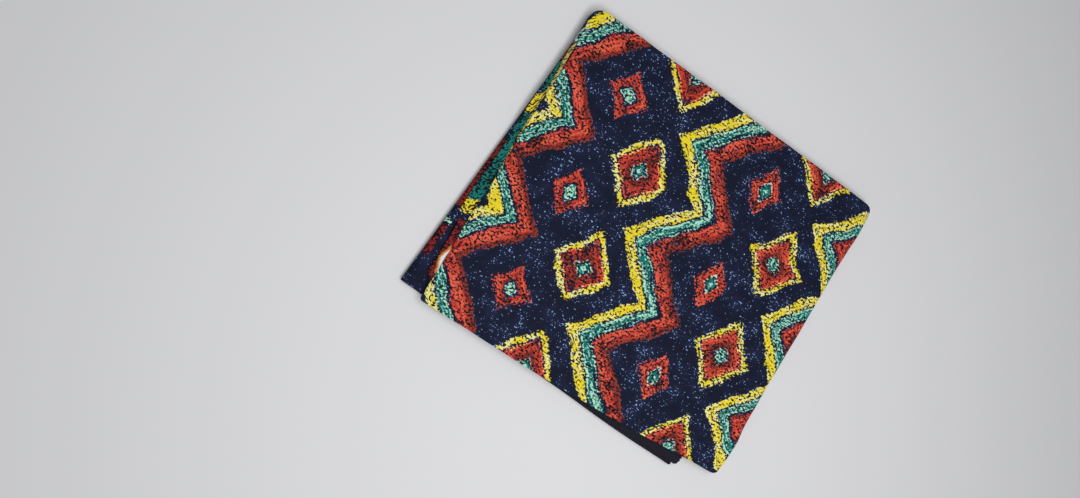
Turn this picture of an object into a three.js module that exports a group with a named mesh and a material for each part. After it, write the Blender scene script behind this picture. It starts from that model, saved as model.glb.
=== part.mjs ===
// A two-yard length of wax-printed cotton, folded flat. Millimetres, +Z up.
// The cloth is doubled along its length and folded in four across its width, which makes a long
// strip. The strip is then folded in three like a letter: the underside turns up and over at the
// left fold to make the inner flap, and up and over at the right fold to make the top flap. The
// inner flap was folded a little crooked, so its fold and its selvedges show on two sides.
import * as THREE from "three";

// ---- driving sizes --------------------------------------------------------------------------
const WALL = 1.0; // a visible layer: a few plies of the cotton pressed together
const GAP = 0.3; // between layers
const INNER = 2.4; // the hidden plies together
const EDGE_THICKNESS = 0.35; // share of a wall's thickness left at its rounded rim

const FLAP = { left: -152.5, right: 157.4, front: -138.6, back: 142.1 }; // the top flap's outline
const CORNER = { front: 9, back: 6, free: 3, worn: 12 }; // two at the right fold, two free; worn is back left
const WORN_CORNER = -157; // where the worn corner's round starts
const ROLL = { front: 1.0, back: 2.0 }; // the flap's edges roll down on these radii
const FRONT_BELLY = 3.6; // the front edge swells by this in its middle
const RIGHT_EARS = [
  { y: 122, width: 22, out: 1.5 }, // the right fold swells near both of its ends
  { y: -118, width: 18, out: 2.2 },
];
const UNDERSIDE = { front: 2, back: 1 }; // the underside lies this far within the top flap
const SEAM = -130; // where the underside's two stretches meet

// The inner flap lies turned under the top flap. Corners as [x, y].
const INNER_FLAP = { frontLeft: [-172.7, -133.2], backLeft: [-155.4, 134.5], backRight: [135, 119] };
const INNER_ENDS = {
  flap: [117.5, -137.5], // each ply's front right corner, at its cut end
  upper: [118.8, -149.4],
  lower: [112.8, -152.2],
};
const SELVEDGE_BOW = { x: 50, halfWidth: 70, out: 1.2 }; // both selvedges bow out a little here

// The top flap's free edge, and those of the two layers that look out under it.
const FREE_EDGE = [
  { y: -100, x: -152.5 },
  { y: -62, x: -153.6 },
  { y: -40, x: -152.3 },
  { y: 16, x: -153.6 },
  { y: 50, x: -153.8 },
  { y: 75, x: -152.7 },
  { y: 100, x: -152.8 },
  { y: 123, x: -155.2 },
  { y: 138, x: -156.2 },
];
const SECOND_EDGE = [
  { y: -36, x: -150 },
  { y: -14, x: -153.6 },
  { y: 16, x: -154.9 },
  { y: 70, x: -155.2 },
  { y: 100, x: -156.6 },
  { y: 130, x: -157.2 },
];
const THIRD_EDGE = [
  { y: -136, x: -151 },
  { y: -127, x: -154 },
  { y: -117, x: -159 },
  { y: -84, x: -158.4 },
  { y: -71, x: -159.2 },
  { y: -60, x: -163 },
  { y: -38, x: -163.2 },
  { y: 7, x: -160.3 },
  { y: 46, x: -160.7 },
  { y: 98, x: -158.2 },
  { y: 138, x: -156.2 },
];
const MOUTH = { x: -157.5, y: -102, halfWidth: 4.5, halfLength: 19, lift: 2.2 }; // it gapes here

// The pile sinks past each of these lines by a share of its height, eased in over a distance.
const SINKS = [
  { axis: "x", from: -134, over: -40, share: 0.2 }, // only the left fold is left out here
  { axis: "x", from: 110, over: 46, share: 0.12 }, // beyond the inner flap's cut ends
  { axis: "y", from: 108, over: 34, share: 0.06 },
  { axis: "y", from: -112, over: -30, share: 0.05 },
  { axis: "y", from: -140, over: -14, share: 0.14 }, // the selvedges hang a little
];
const SWELLS = [
  { height: 0.34, length: 210, turn: 0.5, shift: 0.6 }, // soft waves of the pressed pile
  { height: 0.18, length: 130, turn: 1.9, shift: 2.1 },
];

const EDGE_LINES = [0, 0.5, 8, 17, 27]; // mesh lines near an edge, in mm from it
const ROLL_TURNS = [90, 70, 35, 0]; // mesh lines round a rolled edge, in degrees
const FOLD_STEPS = 8; // mesh steps round a fold

// ---- levels from the table up, each with its lower and upper face --------------------------------
const ORDER = ["under", "inner", "selvedgeLower", "selvedgeUpper", "flap", "third", "second", "top"];
const LEVEL = {};
let height = 0;
for (const layer of ORDER) {
  const thickness = layer === "inner" ? INNER : WALL;
  LEVEL[layer] = { low: height, high: height + thickness, middle: height + thickness / 2 };
  height += thickness + GAP;
}
const PILE = LEVEL.top.high;

// ---- small helpers --------------------------------------------------------------------------
const { lerp, clamp, degToRad, smoothstep, smootherstep } = THREE.MathUtils;
const eased = (share) => smootherstep(share, 0, 1);

// x at y, along a table of places.
function tableX(rows, y) {
  const next = rows.findIndex((row) => row.y > y);
  if (next === 0) return rows[0].x;
  if (next < 0) return rows[rows.length - 1].x;
  const [a, b] = [rows[next - 1], rows[next]];
  return lerp(a.x, b.x, smoothstep(y, a.y, b.y));
}

// The straight line through two corners, as x at y and as y at x.
const lineX = (a, b, y) => a[0] + ((b[0] - a[0]) * (y - a[1])) / (b[1] - a[1]);
const lineY = (a, b, x) => a[1] + ((b[1] - a[1]) * (x - a[0])) / (b[0] - a[0]);

// How far a rounded corner draws an edge in, at this distance from the side.
function cornerInset(radius, fromSide) {
  const d = clamp(fromSide, 0, radius);
  return radius - Math.sqrt(radius * radius - (radius - d) ** 2);
}

// A place at a level becomes a place in the settled pile. Level 0 stays flat on the table.
function settled(x, y, level) {
  let kept = 1;
  for (const { axis, from, over, share } of SINKS)
    kept *= 1 - share * eased(((axis === "x" ? x : y) - from) / over);
  let swell = 0;
  for (const { height: rise, length, turn, shift } of SWELLS)
    swell += rise * Math.sin((2 * Math.PI * (x * Math.cos(turn) + y * Math.sin(turn))) / length + shift);
  return new THREE.Vector3(x, y, level * (kept + swell / PILE));
}

// ---- a closed wall on a grid of places ------------------------------------------------------------
// point(i, j, face) gives a place on the outer (+1) or inner (-1) face. rimSteps adds loops round the
// edge between the faces: a share of the way up, and mm outwards.
function wall(name, color, columns, rows, point, rimSteps = []) {
  const places = [];
  const keep = (place) => places.push(place) - 1;
  const [outer, inner] = [1, -1].map((face) =>
    Array.from({ length: columns }, (_, i) =>
      Array.from({ length: rows }, (_, j) => keep(point(i, j, face))),
    ),
  );
  const triangles = [];
  const quad = (a, b, c, d) => triangles.push(a, b, c, a, c, d);
  for (let i = 0; i + 1 < columns; i++)
    for (let j = 0; j + 1 < rows; j++) {
      quad(outer[i][j], outer[i + 1][j], outer[i + 1][j + 1], outer[i][j + 1]);
      quad(inner[i][j], inner[i][j + 1], inner[i + 1][j + 1], inner[i + 1][j]);
    }
  const [lastI, lastJ] = [columns - 1, rows - 1];
  const round = [];
  for (let i = 0; i < lastI; i++) round.push([i, 0]);
  for (let j = 0; j < lastJ; j++) round.push([lastI, j]);
  for (let i = lastI; i > 0; i--) round.push([i, lastJ]);
  for (let j = lastJ; j > 0; j--) round.push([0, j]);
  const rim = rimSteps.map(({ up, out }) =>
    round.map(([i, j]) => {
      const away = new THREE.Vector3((i === lastI) - (i === 0), (j === lastJ) - (j === 0), 0);
      const place = places[inner[i][j]].clone().lerp(places[outer[i][j]], up);
      return keep(place.addScaledVector(away.normalize(), out));
    }),
  );
  const loops = [round.map(([i, j]) => outer[i][j]), ...rim, round.map(([i, j]) => inner[i][j])];
  for (let k = 0; k + 1 < loops.length; k++)
    round.forEach((_, n) => {
      const next = (n + 1) % round.length;
      quad(loops[k][n], loops[k + 1][n], loops[k + 1][next], loops[k][next]);
    });
  const geometry = new THREE.BufferGeometry().setFromPoints(places);
  geometry.setIndex(triangles);
  geometry.computeVertexNormals();
  const material = new THREE.MeshStandardMaterial({ color, roughness: 0.85, metalness: 0 });
  const mesh = new THREE.Mesh(geometry, material);
  mesh.name = name;
  return mesh;
}

// Mesh lines across a length, as shares of it: close near both edges, even between.
function meshLines(length, steps) {
  const near = EDGE_LINES.map((mm) => mm / length);
  const start = near[near.length - 1];
  const middle = [];
  for (let k = 1; k < steps; k++) middle.push(lerp(start, 1 - start, k / steps));
  return [...near, ...middle, ...near.map((share) => 1 - share).reverse()];
}

// Rows from front to back, each with the turn of its rolled edge.
const flatRows = (steps) => meshLines(FLAP.back - FLAP.front, steps).map((t) => ({ t, turn: 0 }));
function rolledRows(steps) {
  const front = ROLL_TURNS.map((turn) => ({ t: 0, turn: -turn }));
  const back = ROLL_TURNS.map((turn) => ({ t: 1, turn })).reverse();
  return [...front, ...flatRows(steps).slice(2, -2), ...back];
}

const rimShare = (k, count) => (k === 0 || k === count - 1 ? EDGE_THICKNESS : 1);

// ---- outlines in plan -------------------------------------------------------------------------
function flapFront(x) {
  const along = clamp((x - FLAP.left) / (FLAP.right - FLAP.left), 0, 1);
  const corners = cornerInset(CORNER.free, x - FLAP.left) + cornerInset(CORNER.front, FLAP.right - x);
  return FLAP.front - FRONT_BELLY * Math.sin(Math.PI * along) ** 1.3 + corners;
}
function flapBack(x) {
  return FLAP.back - cornerInset(CORNER.worn, x - WORN_CORNER) - cornerInset(CORNER.back, FLAP.right - x);
}
function rightNose(y) {
  let x = FLAP.right - 0.8;
  for (const { y: middle, width, out } of RIGHT_EARS) x += out * Math.exp(-(((y - middle) / width) ** 2));
  return x;
}
const leftNose = (y) => lineX(INNER_FLAP.frontLeft, INNER_FLAP.backLeft, y);
const innerFront = (x, corner) => lineY(INNER_FLAP.frontLeft, corner, x);
const innerBack = (x) => lineY(INNER_FLAP.backLeft, INNER_FLAP.backRight, x);
const cutEnd = (y, corner) => lineX(corner, INNER_FLAP.backRight, y);
const foldReach = (level) => (level.middle - LEVEL.under.middle) / 2 + WALL / 2;

// ---- one flat layer ---------------------------------------------------------------------------
// plan gives left and right as x at y, and front and back as y at x.
function flatLayer(name, color, level, plan, { steps = 7, lift = () => 0, top, rim } = {}) {
  const columns = meshLines(FLAP.right - FLAP.left, 7);
  const rows = flatRows(steps);
  const point = (i, j, face) => {
    const guide = lerp(FLAP.front, FLAP.back, rows[j].t);
    const x = lerp(plan.left(guide), plan.right(guide), columns[i]);
    const y = lerp(plan.front(x), plan.back(x), rows[j].t);
    const high = top ? top(x, y) : level.high;
    const thin = rim ? 1 : rimShare(i, columns.length) * rimShare(j, rows.length);
    const offset = (face * thin * (high - level.low)) / 2;
    const place = settled(x, y, (high + level.low) / 2 + offset);
    place.z += lift(x, y);
    return place;
  };
  return wall(name, color, columns.length, rows.length, point, rim);
}

// ---- a folded layer ---------------------------------------------------------------------------
// A run above, a half-round fold at the nose, and a run back at the table. side is +1 where the fold
// is on the right. Its rows may roll over at the front and back edges.
function foldedLayer(name, color, { side, level, nose, rows, rolls, above, below }) {
  const radius = (level.middle - LEVEL.under.middle) / 2;
  const centre = LEVEL.under.middle + radius;
  const reach = foldReach(level);
  const run = (steps) => meshLines(FLAP.right - FLAP.left, steps);
  const stations = [
    ...run(above.steps).slice(0, -2).map((t) => ({ along: 1 - t, turn: 0 })),
    ...Array.from({ length: FOLD_STEPS + 1 }, (_, k) => ({ along: 0, turn: (180 * k) / FOLD_STEPS })),
    ...run(below.steps).slice(2).map((t) => ({ along: t, turn: 180 })),
  ];
  const point = (i, j, face) => {
    const { along, turn } = stations[side > 0 ? i : stations.length - 1 - i];
    const row = rows[j];
    const guide = lerp(FLAP.front, FLAP.back, row.t);
    const [nx, nz] = [side * Math.sin(degToRad(turn)), Math.cos(degToRad(turn))];
    const heart = nose(guide) - side * reach;
    const x = lerp(heart, (turn < 90 ? above : below).end(guide), along) + radius * nx;
    const lower = eased(turn / 180);
    const front = lerp(above.front(x), below.front(x), lower);
    const back = lerp(above.back(x), below.back(x), lower);
    const roll = row.turn < 0 ? rolls.front : rolls.back;
    const inset = (r) => (r > 0 ? r + WALL / 2 : 0);
    const y = lerp(front + inset(rolls.front), back - inset(rolls.back), row.t);
    const offset = (face * WALL * rimShare(i, stations.length) * rimShare(j, rows.length)) / 2;
    const [out, aside] = [Math.cos(degToRad(row.turn)), Math.sin(degToRad(row.turn))];
    const push = (roll + offset) * out - roll; // along the run's own normal
    return settled(x + nx * push, y + aside * (roll + offset), centre + nz * (radius + push));
  };
  return wall(name, color, stations.length, rows.length, point);
}

// ---- the pieces -------------------------------------------------------------------------------
const NAVY = 0x1b2036;
const RED = 0xb23a2e;
const YELLOW = 0xe2c63c;
const TEAL = 0x2f8f86;
const SELVEDGE = 0x1c1d26;

// The top flap, the right fold and the underside that the pile rests on: one stretch of cloth.
function topFlap() {
  return foldedLayer("top_flap", NAVY, {
    side: 1,
    level: LEVEL.top,
    nose: rightNose,
    rows: rolledRows(7),
    rolls: ROLL,
    above: { steps: 7, end: (y) => tableX(FREE_EDGE, y), front: flapFront, back: flapBack },
    below: {
      steps: 5,
      end: () => SEAM + GAP,
      front: (x) => flapFront(x) + UNDERSIDE.front,
      back: (x) => flapBack(x) - UNDERSIDE.back,
    },
  });
}

// The left fold and the inner flap above it, up to the strip's cut end.
function leftFold() {
  const front = (x) => innerFront(x, INNER_ENDS.flap);
  return foldedLayer("left_fold", RED, {
    side: -1,
    level: LEVEL.flap,
    nose: leftNose,
    rows: flatRows(7),
    rolls: { front: 0, back: 0 },
    above: { steps: 7, end: (y) => cutEnd(y, INNER_ENDS.flap), front, back: innerBack },
    below: { steps: 1, end: () => SEAM - GAP, front, back: innerBack },
  });
}

// A selvedge's ply of the inner flap. It turns back at the left fold, and ends with the strip.
function selvedge(name, level, corner) {
  const { x: middle, halfWidth, out } = SELVEDGE_BOW;
  const bow = (x) => out * Math.cos((Math.PI / 2) * clamp((x - middle) / halfWidth, -1, 1)) ** 2;
  return flatLayer(name, SELVEDGE, level, {
    left: (y) => leftNose(y) + foldReach(LEVEL.flap) + GAP,
    right: (y) => cutEnd(y, corner),
    front: (x) => innerFront(x, corner) - bow(x),
    back: innerBack,
  });
}

// A ply of the top flap's strip whose free edge looks out at the left.
function looseLayer(name, color, level, edge, steps, lift) {
  const plan = {
    left: (y) => tableX(edge, y),
    right: (y) => rightNose(y) - foldReach(LEVEL.top) - GAP,
    front: (x) => flapFront(x) + ROLL.front + WALL,
    back: (x) => flapBack(x) - ROLL.back - WALL,
  };
  return flatLayer(name, color, level, plan, { steps, lift });
}

// The third layer arches up where it gapes beside the top flap's edge.
function mouthLift(x, y) {
  const across = clamp((x - MOUTH.x) / MOUTH.halfWidth, -1, 1);
  const along = clamp((y - MOUTH.y) / MOUTH.halfLength, -1, 1);
  return MOUTH.lift * (Math.cos((Math.PI * across) / 2) * Math.cos((Math.PI * along) / 2)) ** 2;
}

// Everything between the underside and the inner flap: one rounded solid whose edge shows the
// strip's folds, a roll for each. Beyond the inner flap's cut end it rises to fill the right fold.
function hiddenLayers() {
  const rolls = 4;
  const bulge = 0.45;
  const rim = [];
  for (let k = rolls - 1; k >= 0; k--) {
    rim.push({ up: (k + 0.8) / rolls, out: bulge }, { up: (k + 0.2) / rolls, out: bulge });
    if (k > 0) rim.push({ up: k / rolls, out: 0 });
  }
  const clear = WALL + bulge;
  const plan = {
    left: (y) => leftNose(y) + foldReach(LEVEL.flap) + GAP + bulge,
    right: (y) => rightNose(y) - foldReach(LEVEL.top) - GAP - bulge,
    front: (x) => lerp(FLAP.front, flapFront(x), eased((x + 150) / 40)) + UNDERSIDE.front + ROLL.front + clear,
    back: (x) => Math.min(flapBack(x), lerp(innerBack(x), FLAP.back, eased((x + 150) / 40)))
      - UNDERSIDE.back - ROLL.back - clear,
  };
  const top = (x, y) => {
    const beyond = (x - cutEnd(y, INNER_ENDS.upper)) / 12;
    return lerp(LEVEL.inner.high, LEVEL.flap.high, eased(beyond - 0.5));
  };
  return flatLayer("inner_layers", NAVY, LEVEL.inner, plan, { top, rim });
}

const cloth = new THREE.Group();
cloth.add(
  topFlap(),
  looseLayer("second_layer", YELLOW, LEVEL.second, SECOND_EDGE, 8),
  looseLayer("third_layer", TEAL, LEVEL.third, THIRD_EDGE, 24, mouthLift),
  leftFold(),
  selvedge("selvedge_upper", LEVEL.selvedgeUpper, INNER_ENDS.upper),
  selvedge("selvedge_lower", LEVEL.selvedgeLower, INNER_ENDS.lower),
  hiddenLayers(),
);

// The origin is on the table, under the middle of the whole outline.
const outline = new THREE.Box3().setFromObject(cloth);
const middle = outline.getCenter(new THREE.Vector3());
cloth.position.set(-middle.x, -middle.y, 0);

export default cloth;
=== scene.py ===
# %% [markdown]
# # A folded length of wax print cotton
# Two yards of starched cotton, folded flat and laid on a table. The cloth is doubled, folded in four
# across its width, and the strip that this makes is folded in three like a letter. So every layer
# that shows is the same cloth, coming round one fold or another.
# The solids of the frame give each layer's place. Here each stretch of cloth is laid out flat as a
# grid and then folded by a function, as the real one is, so the print runs on round the folds.

# %% Load the frame
import math
from collections import namedtuple

import bmesh
import bpy
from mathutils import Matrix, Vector


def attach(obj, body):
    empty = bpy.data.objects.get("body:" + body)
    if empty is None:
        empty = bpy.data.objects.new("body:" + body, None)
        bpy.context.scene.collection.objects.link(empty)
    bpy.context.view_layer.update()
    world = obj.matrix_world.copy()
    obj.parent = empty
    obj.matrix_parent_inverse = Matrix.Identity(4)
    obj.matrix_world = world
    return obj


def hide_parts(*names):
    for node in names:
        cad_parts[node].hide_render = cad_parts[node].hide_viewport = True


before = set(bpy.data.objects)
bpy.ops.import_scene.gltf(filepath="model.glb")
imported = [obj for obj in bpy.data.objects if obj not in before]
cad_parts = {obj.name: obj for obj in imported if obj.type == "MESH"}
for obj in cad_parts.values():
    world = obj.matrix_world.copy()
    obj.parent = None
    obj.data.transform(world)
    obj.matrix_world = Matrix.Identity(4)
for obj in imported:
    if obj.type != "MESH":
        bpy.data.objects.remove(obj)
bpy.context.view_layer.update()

# %% [markdown]
# ## Sizes and lines of the packet
# Everything about the folds is worked out in millimetres from the middle of the top panel, with the
# same lines as the solids, and moved to the frame's origin at the end. The cloth itself is thin: a
# ply is 0.32 mm, and its middle lies 0.45 mm from the next one's. Real plies touch. The thin gap
# here keeps them from passing through each other where they turn.

# %% Sizes
MM = 0.001
TO_FRAME = Vector((7.15, 5.17, 0)) * MM  # the top panel's middle, from the frame's origin
PLY = 0.32  # the cotton's thickness
PITCH = 0.45  # from one ply to the next
DOUBLE = 2 * PITCH  # the cloth lies doubled
PILE, INNER_PILE = 11.5, 7.6  # heights of the top flap and of the inner flap

FLAP_LEFT, FLAP_RIGHT, FLAP_FRONT, FLAP_BACK = -152.5, 157.4, -138.6, 142.1
ACROSS = FLAP_BACK - FLAP_FRONT
CORNER_FRONT, CORNER_BACK, CORNER_FREE = 9, 10, 3  # radii of both right corners and the front left one
CORNER_WORN, WORN_LEFT = 12, -157  # the worn corner at the back left, and where its round starts
FRONT_BELLY = 3.6  # how far the front edge bows out in its middle
FOLD_BACK = 0.8  # the right fold lies this far in, between the swells at its ends
RIGHT_EARS = [(122, 22, 1.5), (-118, 18, 2.2)]  # y, width, how far the right fold swells there
SEAM = -130  # where the two stretches of the underside meet
INNER_FRONT_LEFT, INNER_BACK_LEFT, INNER_BACK_RIGHT = (-172.7, -133.2), (-155.4, 134.5), (135, 119)
FLAP_END, UPPER_END, LOWER_END = (117.5, -137.5), (118.8, -149.4), (112.8, -152.2)
BOW_MIDDLE, BOW_HALF, BOW_OUT = 50, 70, 1.2  # both selvedges bow out a little here
FREE_EDGE = [
    (-100, -152.5), (-62, -153.6), (-40, -152.3), (16, -153.6), (50, -153.8), (75, -152.7),
    (100, -152.8), (123, -155.2), (138, -156.2),
]  # y, x
SECOND_EDGE = [(-36, -150), (-14, -153.6), (16, -154.9), (70, -155.2), (100, -156.6), (130, -157.2)]
THIRD_EDGE = [
    (-136, -151), (-127, -154), (-117, -159), (-84, -158.4), (-71, -159.2), (-60, -163),
    (-38, -163.2), (7, -160.3), (46, -160.7), (98, -158.2), (138, -156.2),
]
SINKS = [
    ("x", -134, -40, 0.2), ("x", 110, 46, 0.12), ("y", 108, 34, 0.06),
    ("y", -112, -30, 0.05), ("y", -140, -14, 0.14),
]  # past a line, over a distance, the pile loses a share of its height
SWELLS = [(0.34, 210, 0.5, 0.6), (0.18, 130, 1.9, 2.1)]  # height, length, turn, shift
print(f"top panel, mm: {FLAP_RIGHT - FLAP_LEFT:.1f} by {ACROSS:.1f}")

# %% [markdown]
# ## Dyes
# Wax print has few colours, and each is one dye bath. So every colour has a name here, and the light
# and dark forms of a dye are the same bath where more or less of it took.

# %% Dyes
def ink(red, green, blue):
    """A colour as seen on a screen, for a shader."""
    shares = [part / 255 for part in (red, green, blue)]
    linear = [s / 12.92 if s < 0.04045 else ((s + 0.055) / 1.055) ** 2.4 for s in shares]
    return (*linear, 1)


NAVY, NAVY_LIGHT, FLECK = ink(15, 20, 42), ink(26, 32, 62), ink(152, 192, 242)
RED, RED_LIGHT, BROWN = ink(192, 52, 40), ink(244, 106, 80), ink(96, 36, 32)
YELLOW, CREAM = ink(240, 218, 46), ink(246, 238, 150)
TEAL, MINT = ink(18, 122, 114), ink(182, 234, 210)
SELVEDGE, VEIN = ink(28, 27, 38), ink(9, 11, 19)
# The orange and the white on the next line are no dye baths: they paint the highlight on the gape's crest
# and on its pale inside.
STRAW, ORANGE_HIGHLIGHT, PALE_HIGHLIGHT = ink(196, 176, 92), ink(206, 132, 56), ink(232, 232, 236)
DEEP_RED, GROUND = ink(140, 38, 38), (0, 0, 0, 0)  # the last lets the plain ground show
print("navy, as the shader has it:", [round(part, 4) for part in NAVY[:3]])

# %% [markdown]
# ## Soft steps and humps
# Starched cloth has no corners in its surface, so every change of height or width has to start and
# end smoothly. Blender's own falloffs could do that in a modifier. Here three small functions do, so
# that each line of the packet can use them.

# %% Soft steps and humps
def lerp(a, b, share):
    """From a to b, by this share of the way."""
    return a + (b - a) * share


def eased(share):
    """0 below 0, 1 above 1, smooth between."""
    share = min(max(share, 0), 1)
    return share**3 * (share * (share * 6 - 15) + 10)


def bump(distance, width):
    """1 in the middle, 0 from a width away, smooth between."""
    return math.cos(math.pi / 2 * min(abs(distance / width), 1)) ** 2


print("a quarter of the way, eased:", round(eased(0.25), 3), "a hump's flank:", round(bump(0.5, 1), 3))

# %% [markdown]
# ## Lines in plan
# Each edge is a function that gives one coordinate for the other. Curves drawn by hand would follow
# the edges too, but a fold needs its neighbour's line as well as its own, and functions can be asked
# for any point. Straight creases are straight lines; loose edges come from short tables.

# %% Lines in plan
def table_x(rows, y):
    """A loose edge's x at this y, smooth between its table's points."""
    for (y0, x0), (y1, x1) in zip(rows, rows[1:]):
        if y <= y1:
            share = max((y - y0) / (y1 - y0), 0)
            return lerp(x0, x1, share * share * (3 - 2 * share))
    return rows[-1][1]


def line_x(a, b, y):
    """The x at this y, on the straight line through a and b."""
    return a[0] + (b[0] - a[0]) * (y - a[1]) / (b[1] - a[1])


def line_y(a, b, x):
    """The y at this x, on the straight line through a and b."""
    return a[1] + (b[1] - a[1]) * (x - a[0]) / (b[0] - a[0])


def corner_inset(radius, from_side):
    """How far a round corner stands in from the straight edge."""
    d = min(max(from_side, 0), radius)
    return radius - math.sqrt(radius**2 - (radius - d) ** 2)


def flap_front(x):
    """The top panel's front edge, bowed, with round corners."""
    along = min(max((x - FLAP_LEFT) / (FLAP_RIGHT - FLAP_LEFT), 0), 1)
    corners = corner_inset(CORNER_FREE, x - FLAP_LEFT) + corner_inset(CORNER_FRONT, FLAP_RIGHT - x)
    return FLAP_FRONT - FRONT_BELLY * math.sin(math.pi * along) ** 1.3 + corners


def flap_back(x):
    """Its back edge, straight between round corners."""
    return FLAP_BACK - corner_inset(CORNER_WORN, x - WORN_LEFT) - corner_inset(CORNER_BACK, FLAP_RIGHT - x)


def right_nose(y):
    """The right fold's line, a little further out near both corners."""
    ears = sum(out * math.exp(-(((y - middle) / width) ** 2)) for middle, width, out in RIGHT_EARS)
    return FLAP_RIGHT - FOLD_BACK + ears


def left_nose(y):
    """The left fold's line, which is straight but turned a little."""
    return line_x(INNER_FRONT_LEFT, INNER_BACK_LEFT, y)


def waver(along, size):
    """An edge never runs quite straight."""
    return size * (0.6 * math.sin(along / 17 + 1) + 0.4 * math.sin(along / 6.3))


print("free edge at its middle, mm:", round(table_x(FREE_EDGE, 0), 1))

# %% [markdown]
# ## The settled pile
# Twenty-four plies don't lie as flat as a board. The pile sinks towards its edges and swells a
# little in between, and the top has a few soft ridges. A displacement texture could give that to
# one surface. As functions of the place, the sinks and swells are the same for every ply.

# %% The settled pile
def ridge(x, y, middle_x, middle_y, turn, length, width):
    """A soft ridge of height 1 that dies away at its ends and sides."""
    cos, sin = math.cos(math.radians(turn)), math.sin(math.radians(turn))
    along = (x - middle_x) * cos + (y - middle_y) * sin
    across = (y - middle_y) * cos - (x - middle_x) * sin
    return bump(along, length / 2) * bump(across, width)


def settled(x, y, z):
    """A height in the loose pile becomes one in the settled pile."""
    kept = 1
    for axis, start, over, share in SINKS:
        kept *= 1 - share * eased(((x if axis == "x" else y) - start) / over)
    swell = 0
    for height, length, turn, shift in SWELLS:
        along = x * math.cos(turn) + y * math.sin(turn)
        swell += height * math.sin(2 * math.pi * along / length + shift)
    return z * (kept + swell / PILE)


print("settled height of the top panel's middle, mm:", round(settled(0, 0, PILE), 1))

# %% [markdown]
# ## From flat cloth to folded cloth
# A piece of cloth is a grid. Its stations run along the strip, over the panel and round the fold, and
# its rows run across it, with the turned edges as their first and last few rows. A lattice or a
# simulation would also fold it, but plies half a millimetre apart would pass through each other.
# Here every ply takes its radius from its depth in the strip, as nested sheets do. Each row and
# station also keeps its distance on the flat cloth: rows from one selvedge to the other, stations
# from the middle of the length. The print is drawn on those distances.

# %% Distances across the flat cloth
CLEAR = 14  # the outer ply turns under this far; the next ply in starts there
SMALL_FOLD, LARGE_FOLD = DOUBLE / 2, 3 * DOUBLE / 2  # radii of the doubled cloth
OUT = PITCH / 2  # a doubled cloth's outer sheet, from its middle
FLAT_3 = 0  # the flat distance at the start of each of the strip's four doubles
FLAT_2 = ACROSS + math.pi * SMALL_FOLD
FLAT_1 = FLAT_2 + ACROSS + math.pi * SMALL_FOLD
FLAT_4 = FLAT_1 + ACROSS + math.pi * LARGE_FOLD
CLOTH_WIDTH = FLAT_4 + ACROSS
print(f"from selvedge to selvedge: {CLOTH_WIDTH:.0f} mm")

# %% [markdown]
# A row knows its share of the way across the strip, its depth in the pile, and, on a turned edge,
# which way is out. Even spacing would waste faces on the level cloth or leave the edges coarse, so
# places are spaced by what is near them.

# %% Rows across the strip
Row = namedtuple("Row", "share shift depth out_y out_depth flat")


def spaced(length, step, *zones):
    """Places along a length, a step apart, but closer near each zone (from, to, its step)."""
    def gap(place):
        near = [fine + 0.3 * max(start - place, place - end, 0) for start, end, fine in zones]
        return min([step, *near])

    places = [0]
    while places[-1] + gap(places[-1]) / 2 < length:
        places.append(places[-1] + gap(places[-1]))
    return [place * length / places[-1] for place in places]


def level_rows(places, double, flat, outward=-1, backward=False):
    """Rows of a sheet that lies level in the strip. Backward ones run on from its back edge."""
    depth = (double - 0.5) * DOUBLE + outward * OUT
    return [
        Row(d / ACROSS, 0, depth, 0, outward, flat + (ACROSS - d if backward else d)) for d in places
    ]


def turned_rows(share, centre, radius, flat, back, flow=1, steps=8):
    """Rows round a turned edge: the front one leads up from below, the back one down."""
    rows = []
    for k in range(steps + 1):
        turn = math.pi * k / steps
        out_y, out_depth = (math.sin(turn), -math.cos(turn)) if back else (-math.sin(turn), math.cos(turn))
        shift, depth = (radius + OUT) * out_y, centre + (radius + OUT) * out_depth
        rows.append(Row(share, shift, depth, out_y, out_depth, flat + flow * radius * turn))
    return rows


print("rows of a sheet with a step of 3 mm:", len(spaced(ACROSS, 3)))

# %% [markdown]
# The strip is the cloth's width in four, so its four doubles are joined along its edges. The
# outermost sheet goes round the front and the back edge, and one more fold at the back joins the
# second double to the third. Doubles made one by one would be simpler, but would look cut there.

# %% Sheets in the strip
def outer_rows(step):
    """The outermost sheet: turned under at the front, over the strip's face, turned under at the back."""
    stub = [CLEAR - 2, CLEAR / 2]
    places = spaced(ACROSS, step, (0, 0, 1), (ACROSS, ACROSS, 1))
    return [
        *level_rows(stub, 2, FLAT_2, outward=1, backward=True),
        *turned_rows(0, DOUBLE, SMALL_FOLD, FLAT_2 + ACROSS, back=False),
        *level_rows(places[1:-1], 1, FLAT_1),
        *turned_rows(1, 2 * DOUBLE, LARGE_FOLD, FLAT_1 + ACROSS, back=True),
        *level_rows([ACROSS - d for d in reversed(stub)], 4, FLAT_4, outward=1, backward=True),
    ]


def middle_rows(places_2, places_3):
    """The second double, the fold that joins it to the third at the back, and the third."""
    return [
        *level_rows([d for d in places_2[:-1] if d > CLEAR], 2, FLAT_2, backward=True),
        *turned_rows(1, 2 * DOUBLE, SMALL_FOLD, FLAT_2, back=True, flow=-1),
        *level_rows(places_3[-2::-1], 3, FLAT_3, outward=1),
    ]


print("rows of the outermost sheet:", len(outer_rows(3)))

# %% [markdown]
# A station says how far along its panel it is, how far round the fold, and where on the flat cloth. A
# doubled layer runs out to its free edge and back, so its inner sheet is the outer one's stations in
# reverse. Two separate sheets would look the same from afar, but would leave the edge open.

# %% Stations along the strip
Station = namedtuple("Station", "share turn inward poke flat")
# A half of the strip has its side, 1 at the right and -1 at the left, its height, and a function for
# each of its lines, which are its fold, its free end, and its front and back, above and underneath.
Half = namedtuple("Half", "side height nose end front back lower_front lower_back")


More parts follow.
